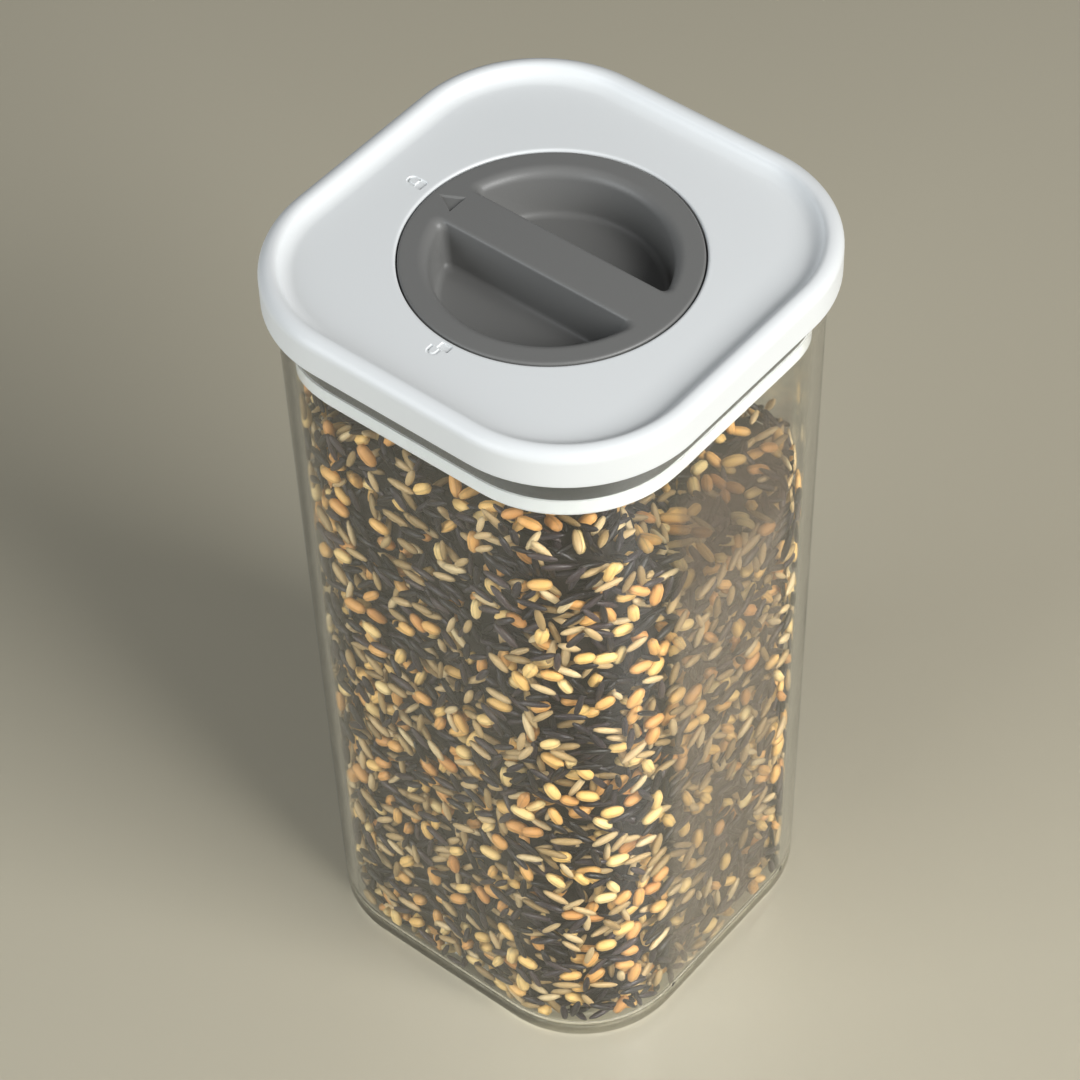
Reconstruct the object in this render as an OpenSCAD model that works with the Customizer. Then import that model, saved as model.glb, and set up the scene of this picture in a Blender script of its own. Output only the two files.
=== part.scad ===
// Square storage canister with a twist-lock lid.
//
// Z = 0 is the surface that it stands on, and its walls run along X and Y. The model
// stands locked, with the knob's pointer towards -X. Turning the knob by twist_angle,
// anticlockwise from above, pushes the plate under the lid down by plate_drop: pins on
// the knob's cup run in helical slots of the cam ring, which is screwed to the plate.
// Turned back, the knob pulls the plate up and squeezes the gasket between plate and
// frame, so that it bulges against the canister's wall.
//
// Every squarish shape here has the same four corner centres, so one size says it all:
// r is how far the shape reaches out from the square through those centres.

/* [Canister] */
// Height from the base to the top of the lid's rim
overall_height = 208; // [120:1:320]
// Thickness of the clear walls
wall = 2.5; // [1.8:0.1:3]
// Thickness of the clear floor
floor_t = 2.5; // [2:0.5:6]
// Draft of the walls, in degrees
draft = 0.75; // [0.2:0.05:1]
// Radius along the outer edge of the base
foot_r = 3; // [1.5:0.25:4]
// Radius along the inner edge of the floor
floor_r = 4; // [2:0.5:8]
// Depth of the dish under the base
dish_depth = 0.8; // [0.4:0.1:1.2]

/* [Lid] */
// Outer width of the lid
lid_width = 105; // [102:1:150]
// Corner radius of the lid, seen from above
lid_corner_r = 32; // [29:0.1:34]
// How far the lid stands out from the canister's mouth
lid_overhang = 2.8; // [2.7:0.05:4.5]
// Thickness of the lid's skirt
skirt_t = 1.8; // [1.2:0.1:2.2]
// Height of the skirt below the lid's flat top
skirt_drop = 6.1; // [5:0.1:9]
// Thickness of the lid's flat top
cover_t = 2; // [1.6:0.1:2.6]
// How far the raised rim stands above the flat top
rim_rise = 3.2; // [2:0.1:4]
// Radius along the lid's outer upper edge
rim_edge_r = 2.8; // [1.5:0.1:3.2]
// Radius of the rim's inner edge
rim_crest_r = 1.6; // [1:0.1:2.5]
// Radius of the hollow between rim and flat top
rim_hollow_r = 3.4; // [2.5:0.1:5]

/* [Knob] */
// Radius of the knob's round face
knob_r = 32.1; // [29:0.1:33]
// Gap round the knob's face
knob_gap = 0.35; // [0.3:0.05:0.6]
// Thickness of the knob's outer flange
knob_flange_t = 3; // [2.5:0.1:3.5]
// Width of the flat ring outside the finger wells
ring_width = 4; // [3.2:0.1:5]
// Width of the flat on top of the grip bar
bar_flat = 9.7; // [8:0.1:13]
// Depth of the finger wells
well_depth = 11.5; // [9:0.1:12.5]
// Length and width of the engraved pointer
pointer_length = 5.3; // [3:0.1:6]
pointer_width = 5.8; // [3:0.1:6.5]

/* [Cam] */
// Turn of the knob from locked to open, in degrees
twist_angle = 90; // [60:1:95]
// Travel of the plate over that turn
plate_drop = 2.5; // [1.5:0.1:3]
// Radius of the cam pins
pin_r = 1.2; // [1:0.05:1.3]
// Number of pins and slots
pin_count = 3; // [2:1:3]

/* [Seal] */
// Height of the squeezed gasket
gasket_h = 6.5; // [6:0.1:9]
// Radial thickness of the gasket
gasket_t = 3.5; // [2.5:0.1:4]
// Gap between the squeezed gasket and the canister
seal_gap = 0.15; // [0.1:0.05:0.3]
// Height of the plate's visible edge band
band_h = 4.5; // [4:0.1:7]
// Gap between the plate's edge and the canister
plate_gap = 0.35; // [0.3:0.05:0.6]

/* [Hidden] */

$fn = 96;
// How far a cutter reaches past what it cuts, and how far joined parts of one moulding overlap
cut = 1;
join = 0.1;
// Running gap between a turning piece and its seat, the play of a piece in its groove or
// hole, and the least play of a pin that is pressed in
run_gap = 0.4;
play = 0.05;
press_gap = 0.03;

// Corner centres, and the reach of lid, mouth and skirt from them
corner_at = lid_width / 2 - lid_corner_r;
lid_reach = lid_corner_r;
mouth_reach = lid_reach - lid_overhang;
skirt_reach = lid_reach - skirt_t;

// Heights in the lid, from the flat top downwards
plate_z = overall_height - rim_rise;
cover_under = plate_z - cover_t;
frame_flange_t = 1.4;
mouth_z = cover_under - frame_flange_t;
skirt_z = plate_z - skirt_drop;
washer_t = 0.45;
ledge_t = 1.5;
ledge_top = plate_z - knob_flange_t - washer_t - play;
ledge_under = ledge_top - ledge_t;
clip_t = 1.2;
clip_play = 0.3;
clip_top = ledge_under - clip_play;
clip_under = clip_top - clip_t;
web_t = 1.4;
web_drop = 2.6;
web_under = ledge_under - web_drop;
web_top = web_under + web_t;
seat_drop = 0.9;
seat_z = web_under - seat_drop;
band_top = seat_z - gasket_h;
band_under = band_top - band_h;
tray_t = 2.8;
tray_top = band_under + tray_t;
cup_gap = 0.6;
cup_under = tray_top + cup_gap;
pin_edge = 0.45;
pin_z = cup_under + pin_edge + pin_r;

// Reach of the canister's walls at a height
function outer_reach(z) = mouth_reach - (mouth_z - z) * tan(draft);
function bore_reach(z) = outer_reach(z) - wall;

// Reach of the pieces that go into the canister's mouth
frame_gap = 0.5;
frame_reach = bore_reach(seat_z) - frame_gap;
frame_wall = 1.8;
gasket_reach = bore_reach(band_top) - seal_gap;
gasket_inside = gasket_reach - gasket_t;
band_reach = bore_reach(band_under) - plate_gap;
upstand_gap = 0.2;
upstand_t = 1.6;
upstand_reach = gasket_inside - upstand_gap;
upstand_inside = upstand_reach - upstand_t;

// The plate's cover lies in a recess of its own outline under the plate
plate_cover_t = 1.2;
plate_cover_gap = 0.1;
plate_cover_edge = 1.3;
recess_reach = upstand_inside - plate_cover_edge;

// Round sizes of the knob and of what it turns in
hole_r = knob_r + knob_gap;
hole_wall = 2;
well_r = knob_r - ring_width;
flare_r = 2.5;
cup_wall_at_flare = 2.7;
cup_r = well_r - flare_r + cup_wall_at_flare;
cup_wall = 2.1;
ledge_r = cup_r + run_gap;
clip_depth = 0.9;
clip_groove_r = cup_r - clip_depth;
clip_stand = 2.1;
clip_r = cup_r + clip_stand;
cam_gap = 0.6;
cam_inside = cup_r + cam_gap;
cam_wall = 2.8;
cam_r = cam_inside + cam_wall;
web_gap = 2.5;
web_hole_r = cam_r + web_gap;
cam_clip_gap = 0.5;
cam_top = clip_under - cam_clip_gap;

// Turn of the first pin from +X when locked
first_pin = 15;

// Screws, all of one size
screw_r = 1;
screw_head_r = 2;
screw_head_h = 1.3;
screw_slack = 0.3;

// Hollow posts on the diagonals, half way between the cam ring and the upstand, and the
// sleeves that slide on them
post_wall = 1;
slide_gap = 0.3;
sleeve_wall = 1.1;
post_hole_r = screw_head_r + screw_slack;
post_r = post_hole_r + post_wall;
sleeve_hole_r = post_r + slide_gap;
sleeve_r = sleeve_hole_r + sleeve_wall;
post_at = (cam_r + corner_at * sqrt(2) + upstand_inside) / 2;
post_drop = 7.9;
post_under = web_under - post_drop;
sleeve_grip = 4.5;
sleeve_top = post_under + sleeve_grip;

// Ears of the cam ring, and the height above the tray at which their screws bear
ear_angle = 24;
ear_r = 2.5;
ear_gap = 0.9;
ear_at = cam_r + ear_gap + ear_r;
ear_lift = 3.5;
ear_under = tray_top + ear_lift;
ear_h = 3.5;
ear_screw_seat = 0.5;

// A run of points on an arc round [cx, cy]
function arc(cx, cy, r, from, to, steps) =
    [for (i = [0:steps]) let (a = from + (to - from) * i / steps) [cx + r * cos(a), cy + r * sin(a)]];

// A solid with straight sides and round corners. The profile lists [r, z] upwards, and
// each quarter is one turned corner with one straight side beside it.
module soft_square(profile) {
    low = profile[0].y;
    high = profile[len(profile) - 1].y;
    section = concat([[0, low]], profile, [[0, high]]);
    for (quarter = [0:3])
        rotate([0, 0, 90 * quarter])
            translate([corner_at, corner_at, 0]) {
                rotate_extrude(angle = 90) polygon(section);
                rotate([90, 0, 0]) linear_extrude(2 * corner_at) polygon(section);
            }
    translate([-corner_at, -corner_at, low]) cube([2 * corner_at, 2 * corner_at, high - low]);
}

// The same with upright sides
module soft_block(reach, low, high) soft_square([[reach, low], [reach, high]]);

// A round ring with upright walls
module ring(inside, outside, low, high) {
    translate([0, 0, low])
        difference() {
            cylinder(r = outside, h = high - low);
            translate([0, 0, -cut]) cylinder(r = inside, h = high - low + 2 * cut);
        }
}

// Children repeated at the four post positions, on the diagonals
module at_posts() for (a = [45:90:315]) rotate([0, 0, a]) translate([post_at, 0, 0]) children();

// Children repeated at the four ears of the cam ring
module at_ears() for (a = [0:90:270]) rotate([0, 0, a + ear_angle]) translate([ear_at, 0, 0]) children();

// Children repeated at the pins' angles
module at_pins() for (i = [0:pin_count - 1]) rotate([0, 0, first_pin + i * 360 / pin_count]) children();

// Pan-head screw, head down, with a cross recess. z is where the head bears.
module screw(z, length) {
    recess = 0.7;
    difference() {
        union() {
            translate([0, 0, z - screw_head_h]) cylinder(r = screw_head_r, h = screw_head_h);
            translate([0, 0, z - screw_head_h / 2]) cylinder(r = screw_r, h = length + screw_head_h / 2);
        }
        for (a = [0, 90])
            rotate([0, 0, a])
                translate([-screw_r, -recess / 2, z - screw_head_h - cut])
                    cube([2 * screw_r, recess, recess + cut]);
    }
}

// Clear moulded canister, open at the top, with a rounded foot and a shallow dish below
module canister() {
    lip_r = 0.8;
    dish_inset = 4.5;
    foot_reach = outer_reach(foot_r) - foot_r;
    floor_reach = bore_reach(floor_t + floor_r) - floor_r;
    dish_reach = foot_reach - dish_inset;
    outside = concat(
        arc(foot_reach, foot_r, foot_r, -90, 0, 6),
        arc(mouth_reach - lip_r, mouth_z - lip_r, lip_r, 0, 90, 4));
    inside = concat(
        arc(floor_reach, floor_t + floor_r, floor_r, -90, 0, 6),
        [[bore_reach(mouth_z), mouth_z - lip_r], [bore_reach(mouth_z) + lip_r / 2, mouth_z + lip_r]]);
    color([0.82, 0.85, 0.86, 0.35])
        difference() {
            soft_square(outside);
            soft_square(inside);
            soft_square([[dish_reach, -cut], [dish_reach, 0], [dish_reach - dish_depth, dish_depth]]);
        }
}

// White top shell: raised rim, flat top, skirt, and the stepped hole that the knob sits in
module lid_cover() {
    // The rim falls to the flat top over an S made of two arcs that meet at this angle
    fall = acos(1 - rim_rise / (rim_crest_r + rim_hollow_r));
    crest_at = lid_reach - rim_edge_r;
    hollow_at = crest_at - (rim_crest_r + rim_hollow_r) * sin(fall);
    outside = concat(
        [[lid_reach, skirt_z]],
        arc(crest_at, overall_height - rim_edge_r, rim_edge_r, 0, 90, 8),
        arc(crest_at, overall_height - rim_crest_r, rim_crest_r, 90, 90 + fall, 5),
        arc(hollow_at, plate_z + rim_hollow_r, rim_hollow_r, fall - 90, -90, 6));
    hole_edge = 0.7;
    boss_wall = 2;
    boss_r = screw_r + boss_wall;
    pilot_depth = 4.2;
    rib_t = 1.2;
    rib_h = 2.2;
    rib_gap = 1;
    rib_end = corner_at + frame_reach - frame_wall - rib_gap;
    color([0.93, 0.94, 0.94])
        difference() {
            union() {
                difference() {
                    soft_square(outside);
                    soft_block(skirt_reach, skirt_z - cut, cover_under);
                }
                translate([0, 0, ledge_under])
                    cylinder(r = hole_r + hole_wall, h = cover_under - ledge_under + join);
                at_posts() translate([0, 0, web_top]) cylinder(r = boss_r, h = cover_under - web_top + join);
                // Ribs run to the middle of each side and to each boss
                for (a = [0:45:315])
                    rotate([0, 0, a])
                        translate([hole_r, -rib_t / 2, cover_under - rib_h])
                            cube([(a % 90 == 0 ? rib_end : post_at) - hole_r, rib_t, rib_h + join]);
            }
            translate([0, 0, ledge_top]) cylinder(r = hole_r, h = overall_height);
            translate([0, 0, ledge_under - cut]) cylinder(r = ledge_r, h = overall_height);
            translate([0, 0, plate_z - hole_edge])
                cylinder(r1 = hole_r, r2 = hole_r + hole_edge + cut, h = hole_edge + cut);
            at_posts() translate([0, 0, web_top - cut]) cylinder(r = screw_r + play, h = pilot_depth + cut);
        }
}

// White inner frame: its flange rests on the canister's mouth, its plug goes inside, its
// underside is the gasket's upper seat, and its hollow posts guide the plate
module lid_frame() {
    flange_gap = 0.3;
    flange_reach = skirt_reach - flange_gap;
    color([0.88, 0.89, 0.89])
        difference() {
            union() {
                difference() {
                    soft_square([[frame_reach, seat_z], [frame_reach, mouth_z], [flange_reach, mouth_z],
                                 [flange_reach, cover_under]]);
                    soft_block(frame_reach - frame_wall, web_top, cover_under + cut);
                    soft_block(gasket_inside, seat_z - cut, web_under);
                    translate([0, 0, seat_z - cut]) cylinder(r = web_hole_r, h = cover_under - seat_z);
                }
                at_posts() translate([0, 0, post_under]) cylinder(r = post_r, h = web_top - post_under);
            }
            at_posts() {
                translate([0, 0, post_under - cut])
                    cylinder(r = post_hole_r, h = web_under - post_under + cut);
                translate([0, 0, web_under - cut]) cylinder(r = screw_r + screw_slack, h = web_t + 2 * cut);
            }
        }
}

// Four screws that hold the frame to the cover, heads down in the hollow posts
module frame_screws() {
    grip = 3.6;
    color([0.6, 0.6, 0.62]) at_posts() screw(web_under, web_t + grip);
}

// Grey silicone gasket, as it stands when squeezed: its outer face bulges to the wall,
// and a groove inside lets it fold
module gasket() {
    half = gasket_h / 2;
    bulge = 0.7;
    middle = seat_z - half;
    bulge_r = (half * half + bulge * bulge) / (2 * bulge);
    spread = asin(half / bulge_r);
    groove = 1.1;
    outer = arc(gasket_reach - bulge_r, middle, bulge_r, -spread, spread, 8);
    color([0.36, 0.37, 0.37])
        difference() {
            soft_square(outer);
            soft_square([[gasket_inside, band_top - cut], [gasket_inside, middle - half / 2],
                         [gasket_inside + groove, middle], [gasket_inside, middle + half / 2],
                         [gasket_inside, seat_z + cut]]);
        }
}

// Outline of one finger well, for a reach, a bar line and a corner radius: the corner
// circles touch the bar line and, from inside, the big arc
function well_outline(reach, line, corner) =
    let (cx = sqrt(pow(reach - corner, 2) - pow(line + corner, 2)),
         cy = line + corner,
         tangent = atan2(cy, cx),
         big = arc(0, 0, reach, tangent, 180 - tangent, 18))
    concat(
        arc(cx, cy, corner, -90, tangent, 5),
        [for (i = [1:len(big) - 2]) big[i]],
        arc(-cx, cy, corner, 180 - tangent, 270, 5));

// How far a rounded edge, a drafted wall and a rounded floor edge have drawn in at a depth
function edge_inset(depth, r) = depth <= 0 ? 0 : depth >= r ? r : sqrt(r * r - pow(r - depth, 2));
function foot_inset(depth, r) = r - edge_inset(well_depth - depth, r);
function draft_inset(depth, start, total) = total * max(0, depth - start) / (well_depth - start);
function wall_inset(depth, edge_r, total, foot_r) =
    edge_inset(depth, edge_r) + draft_inset(depth, edge_r, total) + foot_inset(depth, foot_r);

// Finger well as a loft through outlines at rising depths
module well() {
    bar_edge_r = 0.8;
    well_foot_r = 1.5;
    corner_top = 2;
    corner_shrink = 0.3;
    arc_draft = 1;
    bar_draft = 0.9;
    depths = concat(
        [-cut],
        [for (a = [0:18:90]) flare_r * (1 - cos(a))],
        [for (a = [0:30:90]) well_depth - well_foot_r * (1 - sin(a))]);
    outlines = [for (d = depths)
        let (in_arc = wall_inset(d, flare_r, arc_draft, well_foot_r),
             in_bar = wall_inset(d, bar_edge_r, bar_draft, well_foot_r))
        well_outline(well_r - in_arc, bar_flat / 2 + in_bar, corner_top - corner_shrink * in_bar)];
    count = len(outlines[0]);
    last = len(depths) - 1;
    points = [for (k = [0:last]) for (p = outlines[k]) [p.x, p.y, plate_z - depths[k]]];
    sides = [for (k = [0:last - 1]) for (i = [0:count - 1])
        let (j = (i + 1) % count)
        each [[k * count + i, k * count + j, (k + 1) * count + j],
              [k * count + i, (k + 1) * count + j, (k + 1) * count + i]]];
    top = [for (i = [0:count - 1]) count - 1 - i];
    bottom = [for (i = [0:count - 1]) last * count + i];
    polyhedron(points, concat(sides, [top, bottom]));
}

// Grey knob: round face flush with the lid, two finger wells with a grip bar between
// them, and a cup below that carries the clip ring and the cam pins
module knob() {
    face_edge = 0.6;
    well_floor_t = 1.6;
    // The bar is hollow below, with its ends closed and two ribs across
    bar_wall = 1;
    bar_top_t = 2.2;
    bar_hollow = bar_flat / 2 - bar_wall;
    bar_end = 4;
    bar_hollow_length = well_r - flare_r - bar_end;
    rib_t = 1.2;
    rib_at = 8;
    engrave = 0.4;
    pointer_inset = 1.6;
    pin_hole_r = pin_r + press_gap;
    flange_under = plate_z - knob_flange_t;
    outline = concat(
        [[0, cup_under], [cup_r, cup_under], [cup_r, flange_under], [knob_r, flange_under]],
        arc(knob_r - face_edge, plate_z - face_edge, face_edge, 0, 90, 4),
        [[0, plate_z]]);
    color([0.42, 0.42, 0.41])
        difference() {
            rotate_extrude() polygon(outline);
            for (side = [0, 1]) mirror([0, side, 0]) well();
            translate([0, 0, cup_under - cut])
                cylinder(r = cup_r - cup_wall, h = plate_z - well_depth - well_floor_t - cup_under + cut);
            difference() {
                translate([-bar_hollow_length, -bar_hollow, cup_under])
                    cube([2 * bar_hollow_length, 2 * bar_hollow, plate_z - bar_top_t - cup_under]);
                for (x = [-rib_at, rib_at])
                    translate([x - rib_t / 2, -bar_hollow - cut, plate_z - well_depth])
                        cube([rib_t, 2 * (bar_hollow + cut), well_depth]);
            }
            ring(clip_groove_r, cup_r + cut, clip_under - play, clip_top + play);
            at_pins() translate([cup_r - cup_wall - cut, 0, pin_z]) rotate([0, 90, 0])
                cylinder(r = pin_hole_r, h = cup_wall + 2 * cut, $fn = 48);
            translate([pointer_inset - knob_r, 0, plate_z - engrave])
                linear_extrude(engrave + cut)
                    polygon([[0, 0], [pointer_length, -pointer_width / 2], [pointer_length, pointer_width / 2]]);
        }
}

// Split spring ring in the cup's groove, which keeps the knob from lifting out
module knob_clip_ring() {
    opening = 26;
    inside = clip_groove_r + play;
    color([0.75, 0.75, 0.76])
        rotate([0, 0, 90 + opening / 2])
            rotate_extrude(angle = 360 - opening)
                translate([inside, clip_under]) square([clip_r - inside, clip_t]);
}

// Pins pressed through the cup's wall into the slots of the cam ring
module cam_pins() {
    end_gap = 0.4;
    pin_start = cup_r - cup_wall;
    pin_length = cam_r - end_gap - pin_start;
    color([0.7, 0.7, 0.72])
        at_pins() translate([pin_start, 0, pin_z]) rotate([0, 90, 0])
            cylinder(r = pin_r, h = pin_length, $fn = 48);
}

// Thin slip washer between the knob's flange and the ledge that carries it
module slip_washer() {
    edge_gap = 0.2;
    color([0.2, 0.2, 0.2]) ring(ledge_r + edge_gap, knob_r - edge_gap, ledge_top, ledge_top + washer_t);
}

// White plate under the lid. Its edge band closes the canister, its upstand stands
// inside the gasket, and its sleeves slide on the frame's posts.
module pressure_plate() {
    band_edge = 1.2;
    // The upstand still backs the gasket when the plate is down
    upstand_spare = 0.5;
    upstand_top = seat_z - plate_drop + upstand_spare;
    head_r = screw_head_r + screw_slack;
    head_wall = 0.8;
    outside = concat(
        arc(band_reach - band_edge, band_under + band_edge, band_edge, -90, 0, 5),
        [[band_reach, band_top], [upstand_reach, band_top], [upstand_reach, upstand_top]]);
    rib_t = 1.2;
    rib_h = 2;
    rib_gap = 1;
    rib_start = cam_r + rib_gap;
    color([0.93, 0.94, 0.94])
        difference() {
            union() {
                difference() {
                    soft_square(outside);
                    soft_block(upstand_inside, tray_top, upstand_top + cut);
                }
                at_posts() translate([0, 0, tray_top - join])
                    cylinder(r = sleeve_r, h = sleeve_top - tray_top + join);
                at_ears() translate([0, 0, tray_top - join])
                    cylinder(r = head_r + head_wall, h = ear_under - tray_top + join);
                for (a = [0:90:270])
                    rotate([0, 0, a])
                        translate([rib_start, -rib_t / 2, tray_top - join])
                            cube([corner_at + upstand_inside + join - rib_start, rib_t, rib_h + join]);
            }
            soft_block(recess_reach, band_under - cut, band_under + plate_cover_t + plate_cover_gap);
            at_posts() translate([0, 0, tray_top]) cylinder(r = sleeve_hole_r, h = seat_z - tray_top);
            at_ears() translate([0, 0, band_under]) {
                cylinder(r = head_r, h = tray_t + ear_screw_seat);
                cylinder(r = screw_r + screw_slack, h = seat_z - band_under);
            }
        }
}

// One helical slot: a band that climbs plate_drop over twist_angle, cut through the ring
// wall, with a round hole at each end. It is as wide as a pin and its gap.
module slot() {
    slot_gap = 0.3;
    half_width = pin_r + slot_gap;
    spare = 0.4;
    from = cam_inside - spare;
    to = cam_r + spare;
    steps = 15;
    points = [for (i = [0:steps])
        let (a = twist_angle * i / steps, z = pin_z + plate_drop * i / steps)
        each [for (c = [[from, -half_width], [to, -half_width], [to, half_width], [from, half_width]])
            [c.x * cos(a), c.x * sin(a), z + c.y]]];
    sides = [for (i = [0:steps - 1]) for (k = [0:3])
        let (a = 4 * i + k, b = 4 * i + (k + 1) % 4)
        each [[a, b, b + 4], [a, b + 4, a + 4]]];
    polyhedron(points, concat(sides, [[3, 2, 1, 0], [for (k = [0:3]) 4 * steps + k]]));
    for (i = [0, 1])
        rotate([0, 0, twist_angle * i]) translate([from, 0, pin_z + plate_drop * i]) rotate([0, 90, 0])
            cylinder(r = half_width, h = to - from, $fn = 48);
}

// Cam ring with its helical slots and the four ears that are screwed to the plate
module cam_ring() {
    // Part of the ring's wall that an ear's arm runs into, and the skin left over its screw
    arm_root = 0.5;
    ear_skin = 0.6;
    color([0.55, 0.62, 0.68])
        difference() {
            union() {
                translate([0, 0, tray_top]) cylinder(r = cam_r, h = cam_top - tray_top);
                at_ears() translate([0, 0, ear_under]) {
                    cylinder(r = ear_r, h = ear_h);
                    translate([cam_r - ear_at - arm_root, -ear_r, 0])
                        cube([ear_at - cam_r + arm_root, 2 * ear_r, ear_h]);
                }
            }
            translate([0, 0, tray_top - cut]) cylinder(r = cam_inside, h = cam_top - tray_top + 2 * cut);
            at_pins() slot();
            at_ears() translate([0, 0, ear_under - cut])
                cylinder(r = screw_r + play, h = ear_h - ear_skin + cut);
        }
}

// Four screws that hold the plate to the cam ring, heads down under the plate's cover
module cam_screws() {
    grip = 2.6;
    bear_z = tray_top + ear_screw_seat;
    color([0.6, 0.6, 0.62]) at_ears() screw(bear_z, ear_under - bear_z + grip);
}

// White cover that closes the plate's underside over the screws
module plate_cover() {
    edge = 0.4;
    reach = recess_reach - plate_cover_gap;
    outside = [[reach - edge, band_under], [reach, band_under + edge], [reach, band_under + plate_cover_t]];
    color([0.93, 0.94, 0.94]) soft_square(outside);
}

canister();
lid_cover();
lid_frame();
frame_screws();
gasket();
knob();
knob_clip_ring();
cam_pins();
slip_washer();
pressure_plate();
cam_ring();
cam_screws();
plate_cover();
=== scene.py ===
# A clear square canister with a twist-lock lid, full of mixed grain, on a pale floor.
# Sizes are in millimetres and are turned to metres where a mesh is made.

import math

import bmesh
import bpy
import numpy as np
from mathutils import Matrix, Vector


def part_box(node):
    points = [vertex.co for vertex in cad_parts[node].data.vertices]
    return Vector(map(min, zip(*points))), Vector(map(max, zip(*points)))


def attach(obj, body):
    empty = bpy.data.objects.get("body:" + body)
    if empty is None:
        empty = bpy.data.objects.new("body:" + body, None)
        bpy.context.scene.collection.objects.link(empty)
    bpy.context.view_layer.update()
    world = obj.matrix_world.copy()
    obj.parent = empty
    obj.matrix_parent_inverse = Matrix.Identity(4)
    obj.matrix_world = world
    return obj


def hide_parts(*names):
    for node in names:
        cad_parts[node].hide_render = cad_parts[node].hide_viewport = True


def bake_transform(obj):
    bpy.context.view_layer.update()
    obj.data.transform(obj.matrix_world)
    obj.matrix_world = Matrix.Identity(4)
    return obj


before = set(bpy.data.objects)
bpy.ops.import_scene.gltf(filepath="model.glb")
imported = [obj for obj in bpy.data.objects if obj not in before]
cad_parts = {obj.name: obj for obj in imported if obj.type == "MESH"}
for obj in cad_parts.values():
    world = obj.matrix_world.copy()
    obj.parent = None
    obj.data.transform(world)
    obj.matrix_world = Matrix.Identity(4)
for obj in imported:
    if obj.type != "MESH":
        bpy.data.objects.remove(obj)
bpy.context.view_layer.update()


# Canister
# One injection moulding in clear styrene plastic: 2.5 mm walls and floor, a slight draft, a
# rounded lip that carries the lid's frame, a rounded foot and a shallow dish under the floor.

millimetre = 0.001


def cad_size(node):
    """Lowest and highest corner of a CAD node, in millimetres."""
    low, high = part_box(node)
    return np.array(low) / millimetre, np.array(high) / millimetre


def colour(text):
    """A hex colour, as written for a screen, as linear red, green, blue and 1: a channel c is
    c / 12.92 up to 0.04045, and ((c + 0.055) / 1.055) to the power 2.4 above it."""
    screen = np.array([int(text[i:i + 2], 16) for i in (1, 3, 5)]) / 255
    linear = np.where(screen <= 0.04045, screen / 12.92, ((screen + 0.055) / 1.055) ** 2.4)
    return (*linear, 1)


def new_material(name):
    """A material whose node tree is still empty."""
    material = bpy.data.materials.new(name)
    material.use_nodes = True
    material.node_tree.nodes.clear()
    return material


def add(material, kind, values=None, links=None, **settings):
    """Adds one node: its sockets' values, the outputs that feed its sockets, its own settings."""
    node = material.node_tree.nodes.new(kind)
    for name, value in settings.items():
        setattr(node, name, value)
    for socket, value in (values or {}).items():
        node.inputs[socket].default_value = value
    for socket, output in (links or {}).items():
        material.node_tree.links.new(output, node.inputs[socket])
    return node


def arc(across, height, radius, start, end, steps):
    """Points on a circle's arc round (across, height), between two angles in degrees:
    centre + radius × (cos, sin)."""
    turn = np.radians(np.linspace(start, end, steps + 1))
    return np.stack([across + radius * np.cos(turn), height + radius * np.sin(turn)], 1)


def held(profile, margin=0.4):
    """The profile with two more points in each long straight stretch, a margin from its ends,
    so that smooth shading stays flat between them: point + direction × margin."""
    profile = np.asarray(profile, float)
    points = [profile[0]]
    for start, end in zip(profile[:-1], profile[1:]):
        length = np.hypot(*(end - start))
        if length > 4 * margin:
            step = (end - start) * margin / length
            points += [start + step, end - step]
        points.append(end)
    return np.array(points)


def corner_path(corner_at, corner_steps=24, side_steps=24):
    """Once round a square with round corners, anticlockwise from +X. Gives a base point on
    the square through the corners' centres and a unit direction outwards for each step. The
    shape's point is base + reach × direction, so one path serves every squarish piece."""
    turn = np.radians(np.linspace(0, 90, corner_steps + 1))
    slide = np.linspace(1, -1, side_steps + 1)[1:-1]
    corner = np.full((corner_steps + 1, 2), corner_at)
    side = np.stack([corner_at * slide, np.full(len(slide), corner_at)], 1)
    base = np.concatenate([corner, side])
    outward = np.concatenate([np.stack([np.cos(turn), np.sin(turn)], 1), np.tile([0, 1], (len(slide), 1))])
    quarter_turns = [np.array([[c, s], [-s, c]]) for c, s in [(1, 0), (0, 1), (-1, 0), (0, -1)]]
    return (np.concatenate([base @ t for t in quarter_turns]),
            np.concatenate([outward @ t for t in quarter_turns]))


def swept(profile, path):
    """A profile of (reach, height) carried along a path: rows of base + reach × direction."""
    base, outward = path
    profile = np.asarray(profile, float)
    flat = base[None] + profile[:, 0, None, None] * outward[None]
    height = np.broadcast_to(profile[:, 1, None, None], (*flat.shape[:2], 1))
    return np.concatenate([flat, height], 2)


def skin(rows, ring=False, first=False, last=False):
    """Points and faces of a grid whose columns run once round. ring joins its last row to its
    first. first and last close an open end with one flat face."""
    count, width = rows.shape[:2]
    index = np.arange(count * width).reshape(count, width)
    lower, upper = (index, np.roll(index, -1, 0)) if ring else (index[:-1], index[1:])
    corners = [lower, np.roll(lower, -1, 1), np.roll(upper, -1, 1), upper]
    faces = [np.stack(corners, -1).reshape(-1, 4)]
    if first:
        faces.append(index[:1, ::-1])
    if last:
        faces.append(index[-1:])
    return rows.reshape(-1, 3), faces


def joined(parts):
    """Several (points, faces) as one."""
    starts = np.cumsum([0] + [len(points) for points, faces in parts])
    return (np.concatenate([points for points, faces in parts]),
            [f + start for (points, faces), start in zip(parts, starts) for f in faces])


def smoothed(mesh, crease=32):
    """Shades a mesh smooth up to crease degrees between faces."""
    mesh.shade_smooth()
    mesh.set_sharp_from_angle(angle=math.radians(crease))


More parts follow.
